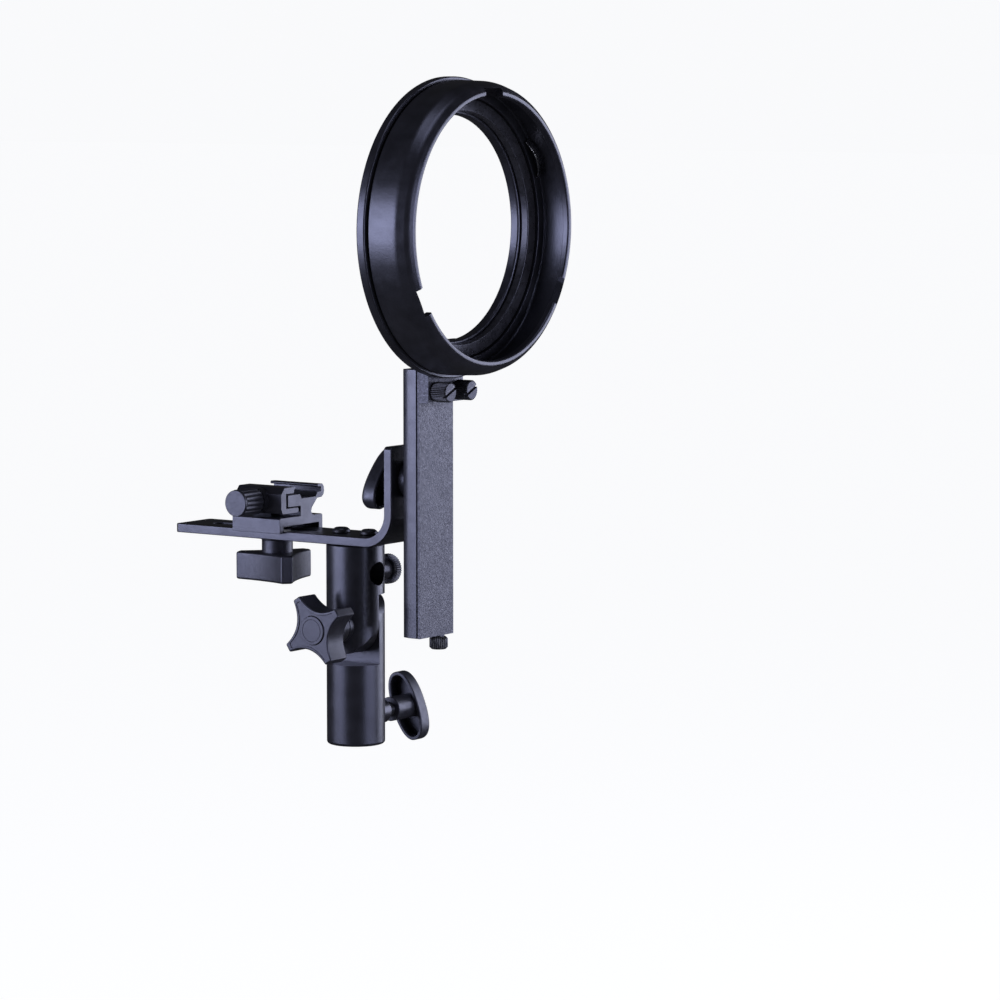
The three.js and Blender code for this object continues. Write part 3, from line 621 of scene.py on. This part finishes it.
STAR_TIP, STAR_WAIST, STAR_TIP_HALF, STAR_TURN = 16.3, 9.0, 2.0, 57
STAR_HUB, STAR_HUB_HEIGHT = 8, 2.4
WING_RIM, WING_WALL, WING_FLOOR, WING_HUB = 8.4, 1.7, 2.4, 5.5
WING_HALF = (16.1, 7.3)
WING_CROWN, WING_CROWN_STEPS = 2.9, 8
STAND_WING_TURN, ARM_WING_TURN = 68, 42
UMBRELLA_HEAD_LENGTH, UMBRELLA_HUB, UMBRELLA_SHANK = 4.8, 4.6, 2.5
SHOE_TIP, SHOE_WAIST, SHOE_TIP_HALF, SHOE_TURN = 18.7, 10.2, 2.6, -38.5
SHOE_COLLAR, SHOE_COLLAR_HEIGHT = 7, 5.9
THUMB_HEAD, THUMB_HEAD_LENGTH, THUMB_SLOT_TURN = 4.45, 8, 25
STOP_HEAD, STOP_HEAD_LENGTH = 4.1, 5.6


def star_knob():
    """The four-pointed knob: a sunk face, a seat for the disc and a hub towards the tube."""
    low, high = limits("star_knob")
    front, hub_end = low.y, high.y
    back = hub_end - STAR_HUB_HEIGHT
    star = lobed(4, STAR_TIP, STAR_WAIST, STAR_TIP_HALF, STAR_TURN, 1.9)
    body = prism("Y", star, front, back, HINGE)
    soften(body, 0.9)
    hub = rod("Y", STAR_HUB, back - 1, hub_end, HINGE, 96, 0.5)
    panel = lobed(4, STAR_TIP - 2.1, STAR_WAIST - 1.5, STAR_TIP_HALF - 0.75, STAR_TURN, 1.1)
    recess = prism("Y", panel, front - 1, front + 0.35, HINGE)
    seat = rod("Y", 6.5, front - 2, front + 1.3, HINGE, 96)
    hole = rod("Y", BOLT_HOLE, front + 6, hub_end + 1, HINGE)
    stand_for("star_knob", cut(join(body, hub), recess, seat, hole), "star_knob_body", 0.12, 40)


def star_disc():
    """The disc in the star knob's face, with a fine groove near its rim."""
    low, high = limits("star_knob_cap")
    front, back, radius = low.y, high.y, high.x
    groove = [(radius - 1.3, front), (radius - 1.4, front + 0.15), (radius - 1.6, front + 0.15)]
    profile = [(0, back), (radius, back), (radius, front), *groove, (radius - 1.7, front), (0, front)]
    disc = lathe("Y", rounded(profile, [0, 0.1, 0.3, 0.05, 0.05, 0.05, 0.05, 0], 3), HINGE)
    stand_for("star_knob_cap", disc, "star_knob_disc", 0)


def wing_loop(inset, height):
    """The wing knob's outline, made smaller all round by `inset`."""
    half_length, half_width = WING_HALF
    return [(x, y, height) for x, y in stretched_oval(half_length - inset, half_width - inset)]


def wing_knob(node, name, length, start, axis, turn_degrees):
    """An oval knob with a crowned outer face and a hollow inner side round its hub.

    It is made along Z from 0 to `length`, and then laid from `start` along `axis`."""
    base, top = length - WING_RIM, length
    floor = top - WING_FLOOR
    loops = [wing_loop(WING_WALL + 0.9, floor), wing_loop(WING_WALL + 0.25, floor - 0.7)]
    loops += [wing_loop(WING_WALL, base + 0.3), wing_loop(WING_WALL - 0.3, base)]
    loops += [wing_loop(0.35, base), wing_loop(0, base + 0.4)]
    crown = WING_CROWN
    for i in range(WING_CROWN_STEPS + 1):
        a = math.pi / 2 * i / WING_CROWN_STEPS
        loops.append(wing_loop(crown * (1 - math.cos(a)), top - 0.5 - crown + crown * math.sin(a)))
    loops += [wing_loop(5.5, top - 0.15), wing_loop(8.2, top)]
    shell = loft(loops)
    hub = rod("Z", WING_HUB, 0, top - 1, edge=0.4)
    knob = cut(join(shell, hub), rod("Z", BOLT_HOLE, -1, top - 3))
    turn = Matrix.Rotation(math.radians(turn_degrees), 4, "Z")
    facing = Vector((0, 0, 1)).rotation_difference(Vector(axis)).to_matrix().to_4x4()
    knob.data.transform(Matrix.Translation(Vector(start) * MM) @ facing @ turn)
    stand_for(node, knob, name, 0.25)


def wing_knobs():
    """The two wing knobs, which lock the stand and the arm's height."""
    low, high = limits("stand_lock_knob")
    start = (0, low.y, pivot("stand_lock_turn").z)
    length = high.y - low.y
    wing_knob("stand_lock_knob", "stand_lock_wing", length, start, (0, 1, 0), STAND_WING_TURN)
    low, high = limits("arm_lock_knob")
    start = (high.x, 0, pivot("arm_lock_turn").z)
    length = high.x - low.x
    wing_knob("arm_lock_knob", "arm_lock_wing", length, start, (-1, 0, 0), ARM_WING_TURN)


def knurled(place, flutes, outer, depth, start, end, centre, edge):
    """A knurled head whose ends are chamfered by `edge`."""
    outline = fluted(flutes, outer, depth)
    loops = []
    for height, shrink in ((start, edge), (start + edge, 0), (end - edge, 0), (end, edge)):
        scale = (outer - shrink) / outer
        loops.append([(x * scale, y * scale, height) for x, y in outline])
    return loft(loops, centre, place)


def umbrella_screw():
    """The knurled screw on the far side of the upper tube, with a dished head."""
    low, high = limits("umbrella_screw")
    centre = (0, 0, pivot("umbrella_screw_turn").z)
    head = knurled("Y", 40, high.x, 0.45, high.y - UMBRELLA_HEAD_LENGTH, high.y, centre, 0.7)
    dish = rod("Y", UMBRELLA_HUB, high.y - 0.5, high.y + 1, centre)
    hub = rod("Y", UMBRELLA_HUB, 15, high.y - 4, centre, 64, 0.4)
    shank = thread("Y", UMBRELLA_SHANK, low.y, 15.6, centre)
    stand_for("umbrella_screw", join(cut(head, dish), hub, shank), "umbrella_lock_screw", 0.1, 50)


def shoe_knob():
    """The three-lobed knob under the plate, with its collar."""
    low, high = limits("shoe_knob")
    centre = (pivot("shoe_knob_turn").x, 0, 0)
    neck = high.z - SHOE_COLLAR_HEIGHT
    outline = lobed(3, SHOE_TIP, SHOE_WAIST, SHOE_TIP_HALF, SHOE_TURN, 2.5)
    body = prism("Z", outline, low.z, neck, centre)
    soften(body, 1.1)
    profile = [(0, neck - 1), (SHOE_COLLAR, neck - 1), (SHOE_COLLAR, high.z), (0, high.z)]
    collar = lathe("Z", rounded(profile, [0, 0, 0.4, 0]), centre, 96)
    hole = rod("Z", BOLT_HOLE, low.z + 3, high.z + 1, centre)
    stand_for("shoe_knob", cut(join(body, collar), hole), "shoe_lock_knob", 0.15, 50)


def jaw_knob():
    """The fluted knob of the shoe's jaw, with a plain round face."""
    low, high = limits("jaw_knob")
    at = pivot("jaw_knob_turn")
    centre = (at.x, 0, at.z)
    radius = high.x - at.x
    body = knurled("Y", 14, radius, 0.5, low.y + 0.8, high.y, centre, 0.5)
    face = rod("Y", radius - 0.2, low.y, low.y + 1.6, centre, 96, 0.35)
    hole = rod("Y", 2.3, low.y + 4, high.y + 1, centre)
    stand_for("jaw_knob", cut(join(body, face), hole), "jaw_fluted_knob", 0.12, 50)


def small_screws():
    """The two slotted thumb screws under the ring, and the stop screw under the arm."""
    for node in ("thumb_screw_1", "thumb_screw_2"):
        low, high = limits(node)
        at = pivot(node + "_turn")
        centre = (0, at.y, at.z)
        head = knurled(
            "X", 30, THUMB_HEAD, 0.35, high.x - THUMB_HEAD_LENGTH, high.x, centre, 0.5
        )
        slot = block((high.x - 1.5, high.x + 1), (-6, 6), (-0.6, 0.6))
        turn = Matrix.Rotation(math.radians(THUMB_SLOT_TURN), 4, "X")
        slot.data.transform(Matrix.Translation(Vector(centre) * MM) @ turn)
        shank = thread("X", 2, low.x, high.x - 7.5, centre, 0.7)
        stand_for(node, join(cut(head, slot), shank), node + "_knurled", 0.08, 50)
    low, high = limits("arm_stop_screw")
    at = pivot("stop_screw_turn")
    centre = (at.x, at.y, 0)
    head = knurled("Z", 26, STOP_HEAD, 0.35, low.z, low.z + STOP_HEAD_LENGTH, centre, 0.9)
    neck = rod("Z", 2.6, low.z + 5, low.z + 6.6, centre)
    shank = thread("Z", 1.6, low.z + 6, high.z, centre, 0.7)
    stand_for("arm_stop_screw", join(head, neck, shank), "stop_screw_knurled", 0.08, 50)


def plate_screws():
    """The two button heads with hexagon sockets that hold the plate on the tube."""
    for node in ("plate_screw_1", "plate_screw_2"):
        low, high = limits(node)
        centre = ((low.x + high.x) / 2, 0, 0)
        face = high.z - 2.5
        side = [(4, face + 0.3), (4, face + 0.8), (3.7, face + 1.7), (2.6, high.z)]
        profile = [(0, face + 0.3), *side, (0, high.z)]
        head = lathe("Z", rounded(profile, [0, 0.1, 0.4, 1, 0.8, 0], 5), centre, 96)
        turns = [math.pi / 3 * i for i in range(6)]
        socket = [(1.5 * math.cos(a), 1.5 * math.sin(a)) for a in turns]
        head = cut(head, prism("Z", socket, face + 1, face + 4, centre))
        screw = join(head, thread("Z", 2, low.z, face + 0.6, centre, 0.7))
        stand_for(node, screw, node + "_button", 0.08, 50)


def plain_screws():
    """The screws and bolts that show only through gaps: threaded shanks along their own axes."""
    along = {"hinge_bolt": "Y", "stand_lock_screw": "Y", "jaw_screw": "Y", "arm_lock_screw": "X"}
    for node, place in along.items():
        low, high = limits(node)
        centre = (low + high) / 2
        radius = (high - low).z / 2
        if place == "Y":
            shank = thread("Y", radius, low.y, high.y, (centre.x, 0, centre.z))
        else:
            shank = thread("X", radius, low.x, high.x, (0, centre.y, centre.z))
        stand_for(node, shank, node + "_threaded", 0)
    low, high = limits("shoe_bolt")
    middle = (low + high) / 2
    head = block((low.x, high.x), (low.y, high.y), (high.z - 3.8, high.z))
    soften(head, 0.4)
    shank = thread("Z", 3, low.z, high.z - 3, (middle.x, middle.y, 0))
    stand_for("shoe_bolt", join(head, shank), "shoe_bolt_square", 0)


def washers():
    """The plain rings round the bolts: two washers and the spacer of the arm."""
    for node, place in (("hinge_washer", "Y"), ("shoe_washer", "Z"), ("arm_spacer", "X")):
        low, high = limits(node)
        middle = (low + high) / 2
        axis = "XYZ".index(place)
        outer = max(high[i] - low[i] for i in range(3) if i != axis) / 2
        start, end = low[axis], high[axis]
        profile = [(BOLT_HOLE, start), (outer, start), (outer, end), (BOLT_HOLE, end)]
        middle[axis] = 0
        edge = min(0.3, (end - start) * 0.3)
        ring = lathe(place, rounded(profile, edge, 3), middle, 96)
        stand_for(node, ring, node + "_turned", 0)


# ---------------------------------------------------------------- the plate, the shoe and the arm

PLATE_THICKNESS, BEND_RADIUS = 4.0, 15.0
PLATE_CORNER, PLATE_EDGE = 1.8, 0.5
PLATE_SLOT = (-80.0, -22.0, 3.4)  # its two ends and half its width


def bent_plate():
    """The L-shaped plate: its side view, trimmed to round corners from above and from the front."""
    low, high = limits("l_plate")
    thick = PLATE_THICKNESS
    bend_z, bend_x = low.z + BEND_RADIUS, high.x - BEND_RADIUS
    turns = [math.pi / 2 * i / 20 for i in range(21)]
    inner, outer = BEND_RADIUS - thick, BEND_RADIUS
    side = [(low.z, low.x), (low.z + thick, low.x)]
    side += [(bend_z - inner * math.cos(a), bend_x + inner * math.sin(a)) for a in turns]
    side += [(high.z, high.x - thick), (high.z, high.x)]
    side += [(bend_z - outer * math.cos(a), bend_x + outer * math.sin(a)) for a in reversed(turns)]
    plate = prism("Y", side, low.y, high.y)
    corners = [(low.x, low.y), (high.x + 10, low.y), (high.x + 10, high.y), (low.x, high.y)]
    plan = prism("Z", rounded(corners, PLATE_CORNER), low.z - 1, high.z + 1)
    corners = [(low.y, low.z - 20), (high.y, low.z - 20), (high.y, high.z), (low.y, high.z)]
    front = prism("X", rounded(corners, PLATE_CORNER), low.x - 1, high.x + 1)
    plate = overlap(plate, plan, front)
    left, right, half = PLATE_SLOT
    bottom, top = low.z - 1, low.z + thick + 1
    corners = [(left, -half), (right, -half), (right, half), (left, half)]
    slot = prism("Z", rounded(corners, half - 0.01, 14), bottom, top)
    lock = pivot("arm_lock_turn")
    hole = rod("X", BOLT_HOLE, high.x - thick - 1, high.x + 1, (0, lock.y, lock.z))
    stand_for("l_plate", cut(plate, slot, hole), "bent_plate", PLATE_EDGE)


def refined(node, name, edge, angle=32):
    """A CAD node's own shape, with its edges rounded as they are on the real piece."""
    obj = bpy.data.objects.new(name, frame["nodes"][node].data.copy())
    bpy.context.scene.collection.objects.link(obj)
    stand_for(node, obj, name, edge, angle)


def flat_pieces():
    """The pieces whose CAD shape needs no more than rounded edges."""
    refined("shoe_base", "shoe_slider", 0.35)
    refined("shoe_jaw", "shoe_clamp_jaw", 0.35)
    refined("arm_channel", "arm_bar", 0.3, 30)
    refined("arm_front_plate", "arm_face", 0.25)
    refined("arm_nut", "arm_slide_nut", 0.3)
    refined("ring_foot", "ring_foot_block", 0.45)
    for i in (1, 2, 3):
        refined(f"leaf_spring_{i}", f"bayonet_spring_{i}", 0.1, 60)


# ---------------------------------------------------------------- the ring

RING_CENTRE_Z = 231.0
RING_SEGMENTS = 224
REAR_OPENING, RING_SCREW_HOLE = 49.0, 1.6
DOME_BACK_OPENING, DOME_LIP = 56.8, 57.0
NOTCH_HALF, NOTCH_RADIUS, NOTCH_ANGLES = 6.35, 60.4, (90, 210, 330)
SEAT_OPENING = 50.4


def rear_ring():
    """The ring's rear plate, with its four screw holes."""
    low, high = limits("ring_rear_plate")
    outer, inner, back, front = high.y, REAR_OPENING, low.x, high.x
    centre = (0, 0, RING_CENTRE_Z)
    profile = [(inner, back), (outer, back), (outer, front), (inner, front)]
    ring = lathe("X", rounded(profile, [0.5, 1.0, 0.7, 1.0], 5), centre, RING_SEGMENTS)
    holes = []
    for i in (1, 2, 3, 4):
        lowest, highest = limits(f"ring_screw_{i}")
        middle = (lowest + highest) / 2
        spot = (0, middle.y, middle.z)
        holes.append(rod("X", RING_SCREW_HOLE, back - 1, front + 1, spot, 28))
    stand_for("ring_rear_plate", cut(ring, *holes), "ring_back", 0.15, 50)


def dome_shell():
    """The ring's domed front shell, hollow behind its lip, with three notches for a snoot's lugs."""
    low, high = limits("ring_dome")
    back, front, r = low.x, high.x, high.y
    centre = (0, 0, RING_CENTRE_Z)
    hole, lip = DOME_BACK_OPENING, DOME_LIP
    dome = [(hole, back), (r, back), (r - 0.5, front - 7), (r - 2.4, front - 1.9), (lip + 2, front)]
    inside = [(lip, front), (lip, front - 3.1), (60.8, front - 4.8), (61.2, back + 4.7)]
    radii = [0.3, 0.6, 7, 5, 1.5, 1.1, 0.4, 1, 1, 0.3]
    profile = rounded([*dome, *inside, (hole, back + 4.3)], radii, 8)
    dome = lathe("X", profile, centre, RING_SEGMENTS)
    notches = []
    for degrees in NOTCH_ANGLES:
        notch = block((front - 6, front + 1), (-NOTCH_HALF, NOTCH_HALF), (lip - 4, NOTCH_RADIUS))
        turn = Matrix.Rotation(math.radians(degrees - 90), 4, "X")
        notch.data.transform(Matrix.Translation(Vector(centre) * MM) @ turn)
        notches.append(notch)
    stand_for("ring_dome", cut(dome, *notches), "ring_shell", 0.35, 45)


def inner_ring():
    """The plain bayonet ring inside the dome."""
    low, high = limits("bayonet_ring")
    inner, outer, back, front = SEAT_OPENING, high.y, low.x, high.x
    profile = [(inner, back), (outer, back), (outer, front), (inner, front)]
    ring = lathe("X", rounded(profile, 0.5, 4), (0, 0, RING_CENTRE_Z), RING_SEGMENTS)
    stand_for("bayonet_ring", ring, "bayonet_seat", 0)


def ring_screws():
    """Four cross-head screws in the ring's rear plate, and two countersunk ones in its foot."""
    for i in (1, 2, 3, 4):
        node = f"ring_screw_{i}"
        low, high = limits(node)
        centre = (0, (low.y + high.y) / 2, (low.z + high.z) / 2)
        face = low.x
        profile = [(0, face), (2.3, face), (2.3, face + 1.4), (0, face + 1.4)]
        head = lathe("X", rounded(profile, [0, 0.9, 0.1, 0]), centre, 48)
        cross = [
            block((face - 1, face + 0.7), (-1.2, 1.2), (-0.25, 0.25)),
            block((face - 1, face + 0.7), (-0.25, 0.25), (-1.2, 1.2)),
        ]
        for bar in cross:
            bar.data.transform(Matrix.Translation(Vector(centre) * MM))
        screw = join(cut(head, *cross), thread("X", 1.25, face + 1, high.x, centre, 0.5))
        stand_for(node, screw, node + "_cross", 0.05, 50)
    for i in (1, 2):
        refined(f"foot_screw_{i}", f"foot_screw_{i}_countersunk", 0.05, 60)


# ---------------------------------------------------------------- the scene

bpy.context.scene.view_settings.view_transform = "Standard"
add_camera()
add_lights()
add_world()
add_floor()
socket_tube()
swivel_tube()
star_knob()
star_disc()
wing_knobs()
umbrella_screw()
shoe_knob()
jaw_knob()
small_screws()
plate_screws()
plain_screws()
washers()
bent_plate()
flat_pieces()
rear_ring()
dome_shell()
inner_ring()
ring_screws()
